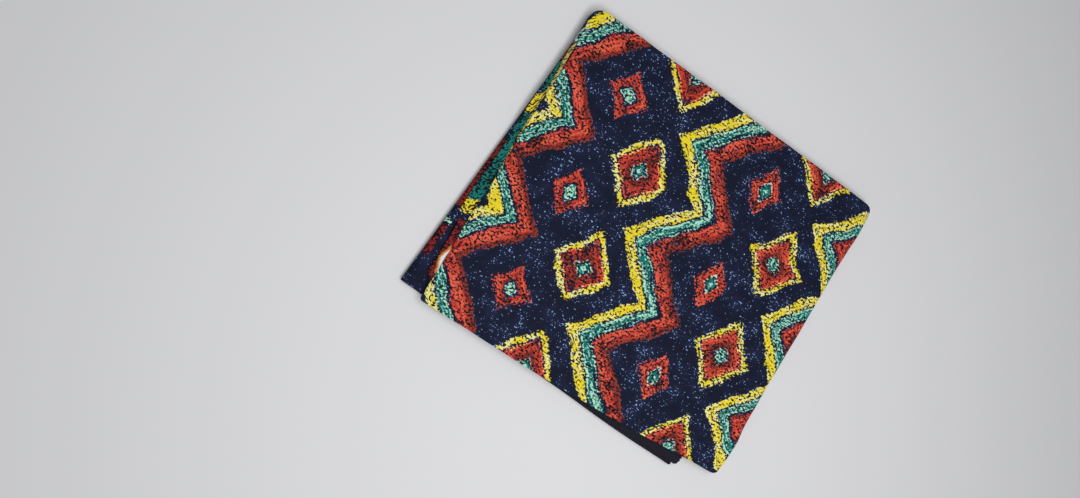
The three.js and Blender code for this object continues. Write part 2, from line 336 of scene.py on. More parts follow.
def sheet_stations(top, under, radius, steps, start=0, flow=1):
    """From the strip's free end over its panel, down round the fold and back along the table.

    top holds places from the free end to the fold, and under from the fold to the seam."""
    run, arc = top[-1], math.pi * radius
    shares = [k / steps for k in range(1, steps)]
    return [
        *[Station(1 - d / run, 0, 0, 0, start + flow * d) for d in top],
        *[Station(0, 180 * k, 0, 0, start + flow * (run + arc * k)) for k in shares],
        *[Station(d / under[-1], 180, 0, 0, start + flow * (run + arc + d)) for d in under],
    ]


def with_inner(outer, inner, steps=6):
    """Adds the doubled cloth's inner sheet, joined to the outer one round the free edge."""
    back = [s._replace(inward=PITCH, flat=-s.flat - math.pi * OUT) for s in reversed(inner)]
    edge = []
    for k in range(1, steps):
        turn = math.pi * k / steps
        inward, poke = OUT * (1 + math.cos(turn)), OUT * math.sin(turn)
        edge.append(Station(1, 0, inward, poke, OUT * (turn - math.pi)))
    return [*back, *edge, *outer]


print("stations in 100 mm of cloth, closer at one end:", len(spaced(100, 3, (0, 3, 0.8))))

# %% [markdown]
# The function below folds one point. Its depth in the strip sets the radius on which it goes round
# the strip's fold, and its row sets how far it has gone round a turned edge. One function settles
# the heights of all plies, so the pile sinks and swells together and no ply crosses another. A
# layer's own relief comes on top of that.

# %% Folding a point
def place(half, pads, station, row, shape):
    """Where a point of the flat cloth lies when the packet is folded, in metres in the frame."""
    guide = lerp(FLAP_FRONT, FLAP_BACK, row.share)
    depth = row.depth - row.out_depth * station.inward
    middle = half.height / 2
    turn = math.radians(station.turn)
    end = half.end(guide, row) if station.turn < 90 else SEAM
    x = lerp(half.nose(guide) - half.side * middle, end, station.share)
    x += half.side * ((middle - depth) * math.sin(turn) - station.poke)
    lower = eased(station.turn / 180)
    front = lerp(half.front(x), half.lower_front(x), lower) + pads[0]
    back = lerp(half.back(x), half.lower_back(x), lower) - pads[1]
    y = lerp(front, back, row.share) + row.shift - row.out_y * station.inward
    z = settled(x, y, middle + (middle - depth) * math.cos(turn))
    z += shape(x, y, row) * eased(1 - station.turn / 120)
    return Vector((x, y, z)) * MM + TO_FRAME


# %% [markdown]
# A grid operator makes the flat cloth, and each of its corners then moves to its folded place. The
# place on the flat cloth is kept as a UV map. A Solidify modifier gives the thickness, half to each
# side, so the folds' radii stay those of the ply's middle.

# %% Folding a grid
def level(x, y, row):
    """The shape of a layer with no relief of its own."""
    return 0


def folded_piece(name, half, sheets, rows, pads=(0, 0), shape=level, dye=None):
    """Lays flat grids of cloth, folds them, and gives the ply its thickness.

    pads hold the front and back edges in from the outline, by the radius of what turns there."""
    bm = bmesh.new()
    flat = bm.loops.layers.uv.new("Flat")
    # A piece's points can carry a colour; only the gape's painted highlight uses it.
    colors = bm.verts.layers.float_color.new("Dye") if dye else None
    for stations in sheets:
        columns, lines = len(stations) - 1, len(rows) - 1
        made = bmesh.ops.create_grid(bm, x_segments=columns, y_segments=lines, size=1)["verts"]
        at = {
            vert: (
                stations[round((vert.co.x + 1) / 2 * columns)],
                rows[round((vert.co.y + 1) / 2 * lines)],
            )
            for vert in made
        }
        for vert, (station, row) in at.items():
            vert.co = place(half, pads, station, row, shape)
            if dye:
                vert[colors] = dye(*((vert.co - TO_FRAME) / MM).xy, row)
        for face in {face for vert in made for face in vert.link_faces}:
            for loop in face.loops:
                station, row = at[loop.vert]
                loop[flat].uv = (station.flat * MM, row.flat * MM)
    mesh = bpy.data.meshes.new(name)
    bm.to_mesh(mesh)
    bm.free()
    mesh.shade_smooth()
    piece = bpy.data.objects.new(name, mesh)
    bpy.context.scene.collection.objects.link(piece)
    ply = piece.modifiers.new("ply", "SOLIDIFY")
    ply.thickness = PLY * MM
    ply.offset = 0
    width = sum(abs(b.flat - a.flat) for a, b in zip(rows, rows[1:]))
    length = sum(abs(b.flat - a.flat) for stations in sheets for a, b in zip(stations, stations[1:]))
    print(f"{name}: {len(mesh.polygons)} faces, {length:.0f} by {width:.0f} mm of cloth")
    return piece, (length * MM, width * MM)


# %% [markdown]
# ## The top flap
# The outermost sheet is one stretch: it comes from inside at the left edge, runs over the top panel,
# down round the right fold and along the table. Its front and back edges are turned too, a tight
# fold at the front and a fuller one at the back, where the cloth goes round six more plies.

# %% The top flap
EDGE_PAD = PLY / 2 + OUT  # from the outline to the radius of a turned edge

RIGHT_HALF = Half(
    side=1, height=PILE, nose=lambda y: right_nose(y) + waver(y, 0.2),
    end=lambda y, row: table_x(FREE_EDGE, y) + EDGE_PAD + waver(y, 0.2),
    front=lambda x: flap_front(x) + waver(x, 0.25), lower_front=lambda x: flap_front(x) + 2,
    back=lambda x: flap_back(x) + waver(x + 40, 0.25), lower_back=lambda x: flap_back(x) - 1,
)
RIGHT_HEART = FLAP_RIGHT - PILE / 2
TOP_LENGTH, UNDER_LENGTH = RIGHT_HEART - FLAP_LEFT, RIGHT_HEART - SEAM
TURNED_PADS = (SMALL_FOLD + EDGE_PAD, LARGE_FOLD + EDGE_PAD)
ROW_STEP = 3  # between the outer sheet's rows

RIDGES = [
    (-104, -48, 83, 150, 13, 0.5), (-60, 92, 12, 120, 11, 0.35), (52, 120, -3, 170, 8, 0.45),
    (126, -14, 86, 190, 9, 0.5), (22, -116, 3, 200, 8, 0.4), (-8, 18, 38, 130, 14, 0.3),
    (74, 46, -52, 90, 11, 0.25), (60, -66, 24, 110, 10, 0.3), (-128, 88, 78, 90, 6, 0.3),
]  # middle x and y, turn, length, width, height


def top_relief(x, y, row):
    """The soft creases of the top panel."""
    return sum(height * ridge(x, y, *size) for *size, height in RIDGES)


top_run = spaced(TOP_LENGTH, 3, (0, 3, 0.8), (TOP_LENGTH, TOP_LENGTH, 1))
under_run = spaced(UNDER_LENGTH, 14, (0, 0, 2))
outer = sheet_stations(top_run, under_run, PILE / 2 - OUT, 12)
inner = [station for station in outer if station.turn == 0 and station.flat < 8]
top_cloth, top_flat = folded_piece(
    "top_cloth", RIGHT_HALF, [with_inner(outer, inner)], outer_rows(ROW_STEP), TURNED_PADS, top_relief
)
SEAM_FLAT = outer[-1].flat

# %% [markdown]
# ## The gape
# Near the front left corner the third layer stands up a little and gapes, so its pale inside shows
# beside its crest. Both carry a painted highlight, which makes the inside near white and the crest
# orange. That could be a piece of its own, but it is the same ply, so its grid is bent there and its
# points carry a colour.

# %% The gape
GAPE_Y, GAPE_HALF = -101, 13  # the gape's middle and half its length
CREST_X, CREST_BOW = -152.8, 3.4  # its crest at both ends, and how far it bows out between them
CREST_OUT, CREST_IN = 1.5, 0.6  # how far the crest's painted orange highlight reaches to each side
ARCH_Y, ARCH_HALF, ARCH_WIDTH, ARCH_HEIGHT = -101.5, 20, 3.7, 2.2


def rim_x(y):
    """The crest of the gape, which bows out from the top flap's edge."""
    return CREST_X - CREST_BOW * bump(y - GAPE_Y, GAPE_HALF - 0.5)


def middle_shape(x, y, row):
    """The third layer arches up where it gapes beside the top flap's edge."""
    if row.depth < 2 * DOUBLE:
        return 0
    return ARCH_HEIGHT * bump(y - ARCH_Y, ARCH_HALF) * bump(x - rim_x(y), ARCH_WIDTH)


def gape_highlight(x, y, row):
    """The gape's pale inside and its crest, with a painted highlight: near white inside, orange on the
    crest.
    """
    if row.depth < 2 * DOUBLE or abs(y - GAPE_Y) > GAPE_HALF or x < rim_x(y) - CREST_OUT:
        return GROUND
    return ORANGE_HIGHLIGHT if x < rim_x(y) + CREST_IN else PALE_HIGHLIGHT


print("the gape's crest, mm:", CREST_X, "to", round(rim_x(GAPE_Y), 1))

# %% [markdown]
# ## The plies inside the top flap
# Two of the strip's doubled layers look out at the left, and a third stays inside. Their folded
# edges wander as the solids' do. The first two are one sheet, joined by the fold at the back, so
# they are made as one piece.

# %% The plies inside the top flap
def middle_end(y, row):
    """The free edges of the second and the third layer."""
    return table_x(SECOND_EDGE if row.depth < 2 * DOUBLE else THIRD_EDGE, y) + EDGE_PAD


def double_stations(depth, end_zone, steps=6):
    """A doubled layer of the top flap, out to its free edge and back."""
    run = spaced(TOP_LENGTH, 16, end_zone, (TOP_LENGTH, TOP_LENGTH, 3))
    outer = sheet_stations(run, spaced(UNDER_LENGTH, 24, (0, 0, 3)), PILE / 2 - depth, steps)
    return with_inner(outer, outer)


places_2 = spaced(ACROSS, 8, (CLEAR, CLEAR, 4), (95, 140, 4), (ACROSS, ACROSS, 1))
places_3 = spaced(ACROSS, 8, (10, 70, 1.5), (ACROSS, ACROSS, 1))
middle_cloth, middle_flat = folded_piece(
    "middle_cloth", RIGHT_HALF._replace(end=middle_end), [double_stations(2 * DOUBLE, (0, 9, 0.7))],
    middle_rows(places_2, places_3), (2, TURNED_PADS[1]), middle_shape, gape_highlight,
)
fourth_places = [d for d in spaced(ACROSS, 8, (0, 0, 2)) if d < ACROSS - CLEAR]
fourth_cloth, fourth_flat = folded_piece(
    "fourth_cloth", RIGHT_HALF._replace(end=lambda y, row: FLAP_LEFT + 2),
    [double_stations(3.5 * DOUBLE, (0, 0, 2))],
    level_rows(fourth_places, 4, FLAT_4, backward=True), (2.4, TURNED_PADS[1]),
)

# %% [markdown]
# ## The inner flap
# At the left the strip comes up off the table and turns right, under the top flap. It was folded a
# little crooked, so its corner sticks out at the front left and its selvedges at the front right.
# Turning the finished piece would also turn the underside, which is one stretch with the top flap's.
# So this half has lines of its own above, and they go over into the other half's underneath.

# %% The inner flap
TOOTH, TEETH_ALONG, CLIP_SLOPE = 3.4, 18, 0.7  # the selvedges' cut ends, near their front corners
TURNS_FROM = -160  # from here to the seam, the underside's outline goes over into the top flap's


def left_half(corner, pinked=0, bow=0, clipped=0):
    """The strip's other half, with its front right corner at this place."""
    def front(x):
        return line_y(INNER_FRONT_LEFT, corner, x) - bow * bump(x - BOW_MIDDLE, BOW_HALF)

    def back(x):
        return line_y(INNER_BACK_LEFT, INNER_BACK_RIGHT, x)

    def end(y, row):
        d = row.share * ACROSS
        tooth = abs((d / TOOTH) % 1 - 0.5) * 2 * (d < TEETH_ALONG)
        cut = line_x(corner, INNER_BACK_RIGHT, y)
        return cut - pinked * tooth - max(clipped - CLIP_SLOPE * d, 0)

    def towards_seam(x):
        return eased((x - TURNS_FROM) / (SEAM - TURNS_FROM))

    return Half(
        side=-1, height=INNER_PILE, nose=left_nose, end=end, front=front, back=back,
        lower_front=lambda x: lerp(front(x), RIGHT_HALF.lower_front(x), towards_seam(x)),
        lower_back=lambda x: lerp(back(x), RIGHT_HALF.lower_back(x), towards_seam(x)),
    )


print("left fold at the front and back, mm:", *[round(left_nose(y), 1) for y in (FLAP_FRONT, FLAP_BACK)])

# %% [markdown]
# The outermost sheet of this half runs from its free end, under the top flap, to the left fold and
# back along the table. Most of it is hidden, so its stations are close only near the fold.

# %% The left fold
SOFT_FRONT, SOFT_BACK, SOFT_HALF = -132, 12, 4.5  # where the trough and puff end, and their half width
TROUGH_X, TROUGH_LEAN, TROUGH_DEPTH = -160.5, -0.02, 0.75
PUFF_IN, PUFF_HEIGHT = 5, 0.35


def inner_shape(x, y, row):
    """A trough beside the gaping layer, and a puff of the fold beyond it."""
    lengthways = eased((y - SOFT_FRONT) / 22) * eased((SOFT_BACK - y) / 50)
    puff = PUFF_HEIGHT * bump(x - left_nose(y) - PUFF_IN, SOFT_HALF)
    trough = TROUGH_DEPTH * bump(x - TROUGH_X - TROUGH_LEAN * y, SOFT_HALF)
    return lengthways * (puff - trough)


INNER_LENGTH = FLAP_END[0] - left_nose(0) - INNER_PILE / 2
LEFT_UNDER = SEAM - left_nose(0) - INNER_PILE / 2
CUT_FLAT = SEAM_FLAT + LEFT_UNDER + math.pi * (INNER_PILE / 2 - OUT) + INNER_LENGTH
left_run = spaced(INNER_LENGTH, 14, (INNER_LENGTH - 26, INNER_LENGTH, 1))
left_outer = sheet_stations(
    left_run, spaced(LEFT_UNDER, 4, (0, 0, 1)), INNER_PILE / 2 - OUT, 10, CUT_FLAT, flow=-1
)
left_cloth, left_flat = folded_piece(
    "left_cloth", left_half(FLAP_END), [left_outer], outer_rows(ROW_STEP), TURNED_PADS, inner_shape
)

# %% [markdown]
# The selvedges are the strip's inner doubles, and stick out past the print at the front. Their cut
# ends were pinked, so they have small teeth, and each inner ply ends a little short of the outer.

# %% The selvedges
TEETH_DEPTH, INNER_SHORT = 1.1, 0.8
UPPER_CLIPPED = 2.2  # cut off the upper one's corner


def selvedge_cloth(name, double, corner, clipped=0):
    """A doubled layer of the inner flap: a sheet for each of its two plies, with the strip's cut end."""
    radius = INNER_PILE / 2 - (double - 0.5) * DOUBLE
    run = spaced(INNER_LENGTH, 12, (0, 4, 1), (INNER_LENGTH - 10, INNER_LENGTH, 1.5))
    outer = sheet_stations(run, spaced(LEFT_UNDER, 10, (0, 0, 2)), radius, 8, CUT_FLAT, flow=-1)
    inner = [
        s._replace(inward=PITCH, poke=-INNER_SHORT * s.share if s.turn < 90 else 0, flat=-s.flat)
        for s in outer
    ]
    places = [d for d in spaced(ACROSS, 12, (0, 18, 0.85)) if d < ACROSS - CLEAR]
    rows = level_rows(places, double, FLAT_3 if double == 3 else FLAT_4, backward=double == 4)
    half = left_half(corner, TEETH_DEPTH, BOW_OUT, clipped)
    return folded_piece(name, half, [outer, inner], rows, (0, TURNED_PADS[1]))


upper_cloth, upper_flat = selvedge_cloth("upper_selvedge", 3, UPPER_END, UPPER_CLIPPED)
lower_cloth, lower_flat = selvedge_cloth("lower_selvedge", 4, LOWER_END)

# %% [markdown]
# ## Working in nodes
# The print is a function of the place on the flat cloth, so it is built from node groups with named
# inputs and outputs: the weave, the motifs, the dry, broken colour of the wax print, and the cloth
# that joins them. A painted image would be simpler, but it would blur close up, and would need
# redrawing for each piece. The small class below lets a line of working read as a line.

# %% A pen for node trees
class Pen:
    """Adds nodes to one tree."""

    def __init__(self, tree):
        self.tree = tree

    def add(self, kind, sockets=(), output=0, **settings):
        """Adds a node, sets or joins its sockets, and gives one of its outputs."""
        node = self.tree.nodes.new(kind)
        for name, value in settings.items():
            setattr(node, name, value)
        for socket, value in dict(sockets).items():
            if isinstance(value, bpy.types.NodeSocket):
                self.tree.links.new(value, node.inputs[socket])
            else:
                node.inputs[socket].default_value = value
        return node.outputs[output]

    def math(self, operation, *values):
        """One sum, of sockets or numbers."""
        return self.add("ShaderNodeMath", enumerate(values), operation=operation)

    def scaled(self, vector, *factors):
        """A vector with each axis times its own factor."""
        return self.add("ShaderNodeVectorMath", {0: vector, 1: factors}, operation="MULTIPLY")

    def step(self, value, low, high):
        """0 below low, 1 above high, smooth between."""
        sockets = {"Value": value, "From Min": low, "From Max": high}
        return self.add("ShaderNodeMapRange", sockets, interpolation_type="SMOOTHSTEP")

    def noise(self, vector, scale=1, detail=2, output=0):
        """Soft noise from 0 to 1; output 1 is a colour."""
        sockets = {"Vector": vector, "Scale": scale, "Detail": detail, "Roughness": 0.55}
        return self.add("ShaderNodeTexNoise", sockets, output)

    def mix(self, share, a, b):
        """A colour between two others."""
        return self.add("ShaderNodeMix", {0: share, 6: a, 7: b}, 2, data_type="RGBA")

    def split(self, vector):
        """A vector's three numbers."""
        node = self.tree.nodes.new("ShaderNodeSeparateXYZ")
        self.tree.links.new(vector, node.inputs[0])
        return node.outputs

    def group(self, name, sockets, output=0):
        """Places a group, and gives one of its outputs, or all of them."""
        node = self.tree.nodes.new("ShaderNodeGroup")
        node.node_tree = bpy.data.node_groups[name]
        for socket, value in sockets.items():
            self.tree.links.new(value, node.inputs[socket])
        return node.outputs if output is None else node.outputs[output]

    def count(self, name):
        """Prints how many nodes the tree has."""
        print(f"{name}: {len(self.tree.nodes)} nodes")


print("a pen can", *[name for name in vars(Pen) if not name.startswith("_")])

# %% [markdown]
# A group is a tree with sockets of its own. Made once and placed in each material, it keeps them all
# alike. Nodes copied into each material would look the same, but each copy would need every change.

# %% Starting a group
def start_group(name, inputs, outputs):
    """A new shader group: its pen, and its sockets inside."""
    tree = bpy.data.node_groups.new(name, "ShaderNodeTree")
    for title, kind in inputs.items():
        tree.interface.new_socket(title, in_out="INPUT", socket_type=f"NodeSocket{kind}")
    for title, kind in outputs.items():
        tree.interface.new_socket(title, in_out="OUTPUT", socket_type=f"NodeSocket{kind}")
    return Pen(tree), tree.nodes.new("NodeGroupInput").outputs, tree.nodes.new("NodeGroupOutput").inputs


print("groups so far:", len(bpy.data.node_groups))

# %% [markdown]
# ## The weave
# Plain weave: a thread of the warp and one of the weft take turns on top, so the surface is a
# checkerboard of small bumps. Some threads are thicker for a centimetre or so, which shows as slubs.
# Threads made as a mesh would take millions of faces. Here two sine waves, one for each direction,
# give the checks, and two stretched noises the slubs.

# %% The weave
pen, given, made = start_group("Plain weave", {"Place": "Vector"}, {"Height": "Float", "Shade": "Float"})
THREAD = 0.36  # mm from one thread to the next
SLUB_ALONG, SLUB_ACROSS = 0.12, 2.2  # a slub is long along its thread and as fine as one across it
CHECK_HEIGHT, CHECK_SHADE = 0.5, 0.035
SLUB_SHADE, DARKEST = 0.22, 0.78

spot = pen.split(given["Place"])
waves = [pen.math("SINE", pen.math("MULTIPLY", spot[i], math.pi / THREAD)) for i in (0, 1)]
checks = pen.math("MULTIPLY", *waves)
warp = pen.noise(pen.scaled(given["Place"], SLUB_ALONG, SLUB_ACROSS, 1), 1, 1)
weft = pen.noise(pen.scaled(given["Place"], SLUB_ACROSS, SLUB_ALONG, 1), 1, 1)
slubs = pen.math("ADD", warp, weft)
pen.tree.links.new(pen.math("MULTIPLY_ADD", checks, CHECK_HEIGHT, slubs), made["Height"])
shade = pen.math("MULTIPLY_ADD", checks, CHECK_SHADE, pen.math("MULTIPLY_ADD", slubs, SLUB_SHADE, DARKEST))
pen.tree.links.new(shade, made["Shade"])
pen.count("Plain weave")

# %% [markdown]
# ## The motifs
# A print of zigzag bands and lozenges, old figures that many cloths have. They could be drawn as
# flat shapes, but here each output says how deep inside a colour's shape a place is, in mm, with a
# negative number outside it. That keeps the edges free: the group that uses this one can break them
# up by as many mm as it likes.

# %% The motifs
REPEAT, RISE, SWING = 150, 47, 22  # repeat along the cloth, half a repeat across it, the zigzag's swing
LOZENGES_FROM = 71  # the middle between the zigzags, along the cloth
pen, given, made = start_group(
    "Motifs", {"Place": "Vector"},
    {"Yellow": "Float", "Teal": "Float", "Red": "Float", "Brown": "Float", "Stroke": "Vector"},
)
spot = pen.split(given["Place"])
up = pen.math("PINGPONG", spot[1], RISE)


def within(value, middle, half):
    """How far inside a band around a middle value."""
    return pen.math("SUBTRACT", half, pen.math("ABSOLUTE", pen.math("SUBTRACT", value, middle)))


zigzag = pen.math("MULTIPLY_ADD", up, -2 * SWING / RISE, SWING)
along = pen.math("WRAP", spot[0], REPEAT / 2, -REPEAT / 2)
across = pen.math("SUBTRACT", along, zigzag)
beside = pen.math("WRAP", pen.math("SUBTRACT", spot[0], LOZENGES_FROM), REPEAT / 2, -REPEAT / 2)


def lozenge(middle, height, half_width, half_height):
    """How far inside a lozenge, from its sides."""
    wide = pen.math("DIVIDE", pen.math("ABSOLUTE", pen.math("SUBTRACT", beside, middle)), half_width)
    share = pen.math("SUBTRACT", 1, pen.math("ADD", wide, pen.math("DIVIDE", height, half_height)))
    return pen.math("MULTIPLY", share, half_width * half_height / math.hypot(half_width, half_height))


large = lozenge(middle=31, height=up, half_width=30, half_height=34)
small = lozenge(middle=-13, height=pen.math("SUBTRACT", RISE, up), half_width=17, half_height=21)

# %% [markdown]
# Each colour is a band of the zigzag, with a ring or the heart of the lozenges. The strokes run along
# the bands and round the rings, so the last output gives a place by how far across a stroke it is,
# and how far along.

# %% Bands, rings and hearts
BANDS = {"Yellow": (-8, 5.5), "Teal": (5, 5.5), "Red": (23, 9.5), "Brown": (30, 3)}  # middle, half width
LARGE_RINGS = {"Yellow": (2.4, 2), "Red": (10.6, 6), "Brown": (15, 3)}
SMALL_RING = (3.7, 3.9)
LARGE_HEART, SMALL_HEART = 17.5, 8  # how deep inside the lozenges the hearts begin
RING_REACH = 2  # strokes follow the rings from this far outside them

colors = {name: within(across, *band) for name, band in BANDS.items()}
for name, size in LARGE_RINGS.items():
    colors[name] = pen.math("MAXIMUM", colors[name], within(large, *size))
colors["Red"] = pen.math("MAXIMUM", colors["Red"], within(small, *SMALL_RING))
for lozenges, heart in ((large, LARGE_HEART), (small, SMALL_HEART)):
    colors["Teal"] = pen.math("MAXIMUM", colors["Teal"], pen.math("SUBTRACT", lozenges, heart))

ring = pen.math("MAXIMUM", large, small)
inside = pen.math("GREATER_THAN", ring, -RING_REACH)
stroke = pen.add("ShaderNodeMix", {0: inside, 2: across, 3: ring}, data_type="FLOAT")
stroke = pen.add("ShaderNodeCombineXYZ", {0: stroke, 1: up, 2: spot[0]})
for name, value in {**colors, "Stroke": stroke}.items():
    pen.tree.links.new(value, made[name])
pen.count("Motifs")

# %% [markdown]
# ## The wax print
# Wax cracks in the dye bath, so each colour is broken by fine dark veins, and the dark ground by pale
# flecks. Some strokes along the bands are lighter, and some ran dry. A cell pattern such as Voronoi
# would give cracks too, but too even ones. One noise, a little finer across the cloth than along it,
# gives both the cracks and the broken edges. It is a group of its own, because the bars at the
# packet's left use it as well.

# %% How the wax breaks
SPREAD = 11  # mm that an edge shifts from the noise's lowest value to its highest
pen, given, made = start_group("Crackle", {"Flat": "Vector"}, {"Crackle": "Float", "Shift": "Float"})
crackle = pen.noise(pen.scaled(given["Flat"], 0.4, 0.54, 1), 1, 2)
pen.tree.links.new(crackle, made["Crackle"])
pen.tree.links.new(pen.math("MULTIPLY_ADD", crackle, SPREAD, -SPREAD / 2), made["Shift"])
pen.count("Crackle")

# %% [markdown]
# No line of a hand-cut block is straight, so the motifs are read from places that have moved about a
# little. What is left of a colour then depends on the wax: its strokes have gaps and its edges
# crumble. A stretch with bars leaves the motifs out.

# %% The wax print
VEINS = {"Red": 0.475, "Teal": 0.44, "Yellow": 0.445, "Bars": 0.5}  # how much each dye is cracked
PATCHY = 0.28  # and how much that differs from patch to patch
TWICE_DYED = 0.75  # how brown the red is at most
SLOW_WANDER, QUICK_WANDER = (0.035, 11), (0.28, 3)  # the scale of the noise, and its size in mm
DRY = (0.31, 0.35)  # a stroke runs dry where the streaks are below this

pen, given, made = start_group(
    "Wax print", {"Cloth": "Vector", "Dye": "Color", "Dyed": "Float", "Bare": "Float"},
    {"Color": "Color", "Roughness": "Float", "Height": "Float"},
)
flat = pen.scaled(given["Cloth"], *[1 / MM] * 3)


def wandering(vector, scale, size):
    """Moves places about by up to this many mm."""
    move = pen.noise(flat, scale, 1, output=1)
    move = pen.add("ShaderNodeVectorMath", {0: move, 1: (0.5, 0.5, 0.5)}, operation="SUBTRACT")
    return pen.add("ShaderNodeVectorMath", {0: vector, 1: pen.scaled(move, size, size, 0)}, operation="ADD")


drawn = wandering(wandering(flat, *SLOW_WANDER), *QUICK_WANDER)
motifs = pen.group("Motifs", {"Place": drawn}, output=None)
streak = pen.noise(pen.scaled(motifs["Stroke"], 0.55, 0.06, 0.004), 1, 2)  # long along a stroke
crackle = pen.group("Crackle", {"Flat": flat})
patches = pen.noise(flat, 0.06, 2)  # about two centimetres wide
broken = pen.math("MULTIPLY_ADD", crackle, SPREAD, pen.math("MULTIPLY_ADD", streak, 8, -10))


def cover(name):
    """Where a colour took: its shape, broken along the strokes and at the edges."""
    shape = pen.step(pen.math("ADD", motifs[name], broken), -0.3, 0.3)
    shape = pen.math("MULTIPLY", shape, pen.step(streak, *DRY))
    return pen.math("MULTIPLY", shape, pen.math("SUBTRACT", 1, given["Bare"]))


def veined(color, amount):
    """Shows the ground through the cracks in a colour, more of it in patches."""
    level = pen.math("MULTIPLY_ADD", patches, PATCHY, amount - PATCHY / 2)
    return pen.mix(pen.step(pen.math("SUBTRACT", level, crackle), -0.01, 0.01), color, VEIN)


# %% [markdown]
# The colours go on as the baths do: the dark ground, then red, teal and yellow, each on the wax's
# broken shape. Each has lighter strokes, the red has brown where it took twice, and the bars at the
# packet's left come last.

# %% The baths
fleck_rows = pen.noise(pen.scaled(flat, 0.3, 0.85, 1), 1, 1)
fleck_columns = pen.noise(pen.scaled(flat, 0.85, 0.4, 1), 1, 1)
flecks = pen.math("MULTIPLY_ADD", patches, 0.24, pen.math("MAXIMUM", fleck_rows, fleck_columns))
color = pen.mix(pen.step(patches, 0.35, 0.7), NAVY, NAVY_LIGHT)
color = pen.mix(pen.step(flecks, 0.825, 0.84), color, FLECK)

red_color = pen.mix(pen.step(streak, 0.35, 0.68), RED, RED_LIGHT)
in_brown = pen.step(pen.math("ADD", motifs["Brown"], broken), -0.5, 0.5)
in_brown = pen.math("MAXIMUM", in_brown, pen.step(patches, 0.6, 0.63))
red_color = pen.mix(pen.math("MULTIPLY", in_brown, TWICE_DYED), red_color, BROWN)
color = pen.mix(cover("Red"), color, veined(red_color, VEINS["Red"]))
teal_color = pen.mix(pen.step(pen.math("ADD", streak, crackle), 1.02, 1.1), TEAL, MINT)
color = pen.mix(cover("Teal"), color, veined(teal_color, VEINS["Teal"]))
yellow_color = pen.mix(pen.step(pen.math("ADD", streak, patches), 1.0, 1.1), YELLOW, CREAM)
color = pen.mix(cover("Yellow"), color, veined(yellow_color, VEINS["Yellow"]))
color = pen.mix(given["Dyed"], color, veined(given["Dye"], VEINS["Bars"]))

# %% [markdown]
# The selvedges are plain and dark, and stay unprinted. The weave comes last, on everything: it
# darkens the colour a little between its threads and gives the height for the bumps.

# %% Selvedge and weave
SELVEDGE_WIDTH = 14.5
across = pen.split(flat)[1]
to_selvedge = pen.math("MINIMUM", across, pen.math("SUBTRACT", CLOTH_WIDTH, across))
edge = pen.math("ADD", to_selvedge, crackle)
color = pen.mix(pen.step(edge, SELVEDGE_WIDTH - 0.3, SELVEDGE_WIDTH + 0.3), SELVEDGE, color)

weave = pen.group("Plain weave", {"Place": flat}, output=None)
color = pen.add("ShaderNodeVectorMath", {0: color, 3: weave["Shade"]}, operation="SCALE")
pen.tree.links.new(color, made["Color"])
pen.tree.links.new(pen.math("MULTIPLY_ADD", crackle, 0.2, 0.6), made["Roughness"])
pen.tree.links.new(weave["Height"], made["Height"])
pen.count("Wax print")

# %% [markdown]
# ## Bars on the narrow strips
# Where the plies look out only a narrow strip of the print shows, and the motifs are too large to
# tell there. So those strips have plain bars instead, which differ from ply to ply and have the same
# broken edges as the rest. A colour ramp with hard steps holds them all in one node.

# %% Bars on the narrow strips
Bars = namedtuple("Bars", "start colors middle half narrow")
SECOND = ACROSS + 1  # the second layer's bars start here
BARS = {
    "print_layers": Bars(
        # On the second layer the bars narrow to 2.2 mm, so a strip of dark ground shows between them and
        # the top flap's edge as a painted shadow.
        start=0, middle=0, half=14, narrow=(SECOND, 2.2),
        colors=[
            (0, DEEP_RED), (72, GROUND), (77, YELLOW), (92, TEAL), (182, YELLOW), (200, GROUND),
            (204, TEAL), (237, DEEP_RED), (251, GROUND), (SECOND + 16, MINT), (SECOND + 28, GROUND),
            (SECOND + 31, STRAW), (SECOND + 176, GROUND),
        ],
    ),
    "print_inner_flap": Bars(
        start=FLAT_1, middle=CUT_FLAT - INNER_LENGTH - 6, half=27, narrow=(0, 8),
        colors=[
            (0, GROUND), (27, DEEP_RED), (58.5, GROUND), (60.5, MINT), (65, GROUND), (77, DEEP_RED),
            (147, GROUND),
        ],
    ),
}  # colours by their distance across the cloth, on a band along it; past one place they narrow
RAGGED = 0.15  # how much of the broken edges' shift the bars' ends have
print("bars by slot:", {slot: len(bars.colors) for slot, bars in BARS.items()})


def bar_colors(pen, across, colors, length):
    """A colour ramp with hard steps, one for each bar."""
    ramp = pen.tree.nodes.new("ShaderNodeValToRGB")
    pen.tree.links.new(pen.math("DIVIDE", across, length), ramp.inputs[0])
    ramp.color_ramp.interpolation = "CONSTANT"
    for start, color in colors[1:]:
        ramp.color_ramp.elements.new(start / length).color = color
    ramp.color_ramp.elements.remove(ramp.color_ramp.elements[-1])
    ramp.color_ramp.elements[0].color = colors[0][1]
    return ramp


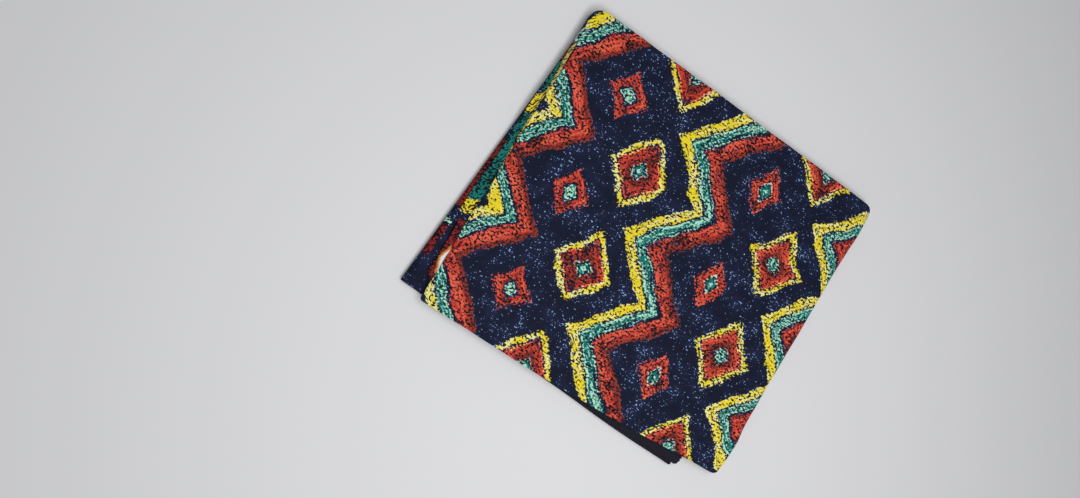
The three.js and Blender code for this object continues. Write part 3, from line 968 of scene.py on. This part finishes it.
def add_bars(pen, cloth, bars):
    """The bars' colour, where they are, and the band on which nothing else is printed."""
    flat = pen.scaled(cloth, *[1 / MM] * 3)
    shift = pen.group("Crackle", {"Flat": flat}, output="Shift")
    spot = pen.split(flat)
    across = pen.math("SUBTRACT", spot[1], bars.start)
    ramp = bar_colors(pen, pen.math("ADD", across, shift), bars.colors, 2 * ACROSS)
    away = pen.math("ABSOLUTE", pen.math("SUBTRACT", spot[0], bars.middle))
    narrow, narrowed = bars.narrow
    reach = pen.step(across, narrow - 0.2, narrow - 0.1)
    reach = pen.math("MULTIPLY_ADD", reach, narrowed - bars.half, bars.half)
    reach = pen.math("MULTIPLY_ADD", shift, RAGGED, reach)
    reached = pen.step(pen.math("SUBTRACT", reach, away), -0.2, 0.2)
    return {
        "Dye": ramp.outputs["Color"],
        "Dyed": pen.math("MULTIPLY", reached, ramp.outputs["Alpha"]),
        "Bare": pen.step(pen.math("SUBTRACT", pen.math("ADD", shift, bars.half), away), -0.2, 0.2),
    }


# %% [markdown]
# ## A material for each slot
# Every slot has the same starched cotton: the wax print, rough, with hardly any sheen, and with the
# weave as bumps. A displaced weave would be truer close up, but far too heavy for a whole cloth.

# %% A material for each slot
def cloth_material(name):
    """Starched cotton with the print, and with bars where the slot has them."""
    material = bpy.data.materials.new(name)
    material.use_nodes = True
    pen = Pen(material.node_tree)
    shader = pen.tree.nodes["Principled BSDF"]
    cloth = pen.add("ShaderNodeUVMap", uv_map="Flat")
    sockets = add_bars(pen, cloth, BARS[name]) if name in BARS else {}
    wax = pen.group("Wax print", {"Cloth": cloth, **sockets}, output=None)
    color = wax["Color"]
    if name == "print_layers":
        # The points' colour, where given, is the gape's painted highlight laid over the print.
        gape = pen.tree.nodes.new("ShaderNodeAttribute")
        gape.attribute_name = "Dye"
        color = pen.mix(gape.outputs["Alpha"], color, gape.outputs["Color"])
    bumps = pen.add("ShaderNodeBump", {"Distance": 0.05 * MM, "Height": wax["Height"]})
    for value, socket in ((color, "Base Color"), (wax["Roughness"], "Roughness"), (bumps, "Normal")):
        pen.tree.links.new(value, shader.inputs[socket])
    shader.inputs["Specular IOR Level"].default_value = 0.12
    shader.inputs["Sheen Weight"].default_value = 0.02
    pen.count(name)
    return material


# %% [markdown]
# ## What each piece stands for
# Every piece is one sheet with its size on the flat cloth, and replaces the solids of the same
# stretch. The solids' names stay with the solids, so these have names of their own.

# %% Say what each piece stands for
PIECES = [
    (top_cloth, top_flat, ["top_flap"], "print_top"),
    (middle_cloth, middle_flat, ["second_layer", "third_layer"], "print_layers"),
    (fourth_cloth, fourth_flat, ["inner_layers"], "print_layers"),
    (left_cloth, left_flat, ["left_fold"], "print_inner_flap"),
    (upper_cloth, upper_flat, ["selvedge_upper"], "selvedge"),
    (lower_cloth, lower_flat, ["selvedge_lower"], "selvedge"),
]
for piece, flat_size, nodes, slot in PIECES:
    piece.data.materials.append(cloth_material(slot))
    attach(piece, "root")
    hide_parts(*nodes)

# %% [markdown] ## Table, light and camera The table is one pale, plain sheet, which fills the
# camera's view.

# %% Table
TABLE_HALF = 3  # metres

bm = bmesh.new()
bmesh.ops.create_grid(bm, x_segments=1, y_segments=1, size=TABLE_HALF)
mesh = bpy.data.meshes.new("table")
bm.to_mesh(mesh)
bm.free()
table = bpy.data.objects.new("floor", mesh)
material = bpy.data.materials.new("table")
material.use_nodes = True
shader = material.node_tree.nodes["Principled BSDF"]
shader.inputs["Base Color"].default_value = ink(225, 225, 228)
shader.inputs["Roughness"].default_value = 0.6
table.data.materials.append(material)
bpy.context.scene.collection.objects.link(table)
print("table, m:", 2 * TABLE_HALF)

# %% [markdown]
# A large soft lamp overhead gives most of the light, a little stronger at the left, and some more
# comes from all round, as in a bright room. A smaller lamp at the front right throws the packet's
# thin shadows to the left and behind it. Without it no edge of so flat a packet would have a shadow,
# and the packet would seem to float.

# %% Light
def add_lamp(name, energy, size, place, aim):
    """A square lamp of this many watts, with its side and places in metres."""
    lamp = bpy.data.lights.new(name, "AREA")
    lamp.energy = energy
    lamp.size = size
    light = bpy.data.objects.new(name, lamp)
    light.location = place
    light.rotation_euler = (Vector(aim) - light.location).to_track_quat("-Z", "Y").to_euler()
    bpy.context.scene.collection.objects.link(light)


add_lamp("overhead", energy=4.4, size=0.7, place=(0, 0, 0.9), aim=(-0.52, -0.19, 0))
add_lamp("lamp", energy=4.9, size=0.4, place=(0.42, -0.6, 1.1), aim=(-0.05, 0, 0))
print("lamps:", len(bpy.data.lights))

world = bpy.data.worlds.new("room")
world.use_nodes = True
world.node_tree.nodes["Background"].inputs["Color"].default_value = (0.98, 0.99, 1, 1)
world.node_tree.nodes["Background"].inputs["Strength"].default_value = 0.26
bpy.context.scene.world = world
bpy.context.scene.view_settings.view_transform = "Standard"

# %% [markdown]
# The camera looks down almost straight, from a little to the left, and is turned by about a third of
# a right angle, so the packet lies slanting at the right of its view. It could be aimed at a point
# on the table, but that point says little, so its place and turns are given as they are.

# %% Camera
CAMERA_PLACE, CAMERA_TURNS = (-234.6, -91.8, 634.9), (-3.988, -12.891, 32.477)  # mm and degrees

camera = bpy.data.cameras.new("camera")
camera.lens = 26
camera.sensor_width = 36
view = bpy.data.objects.new("camera", camera)
view.location = Vector(CAMERA_PLACE) * MM + TO_FRAME
view.rotation_euler = [math.radians(turn) for turn in CAMERA_TURNS]
bpy.context.scene.collection.objects.link(view)
bpy.context.scene.camera = view
print("camera above the table, mm:", round(view.location.z / MM))

# %% [markdown]
# ## Finish
# The thin cloth should fill the same box as the solids. A look at both would hardly show half a
# millimetre.
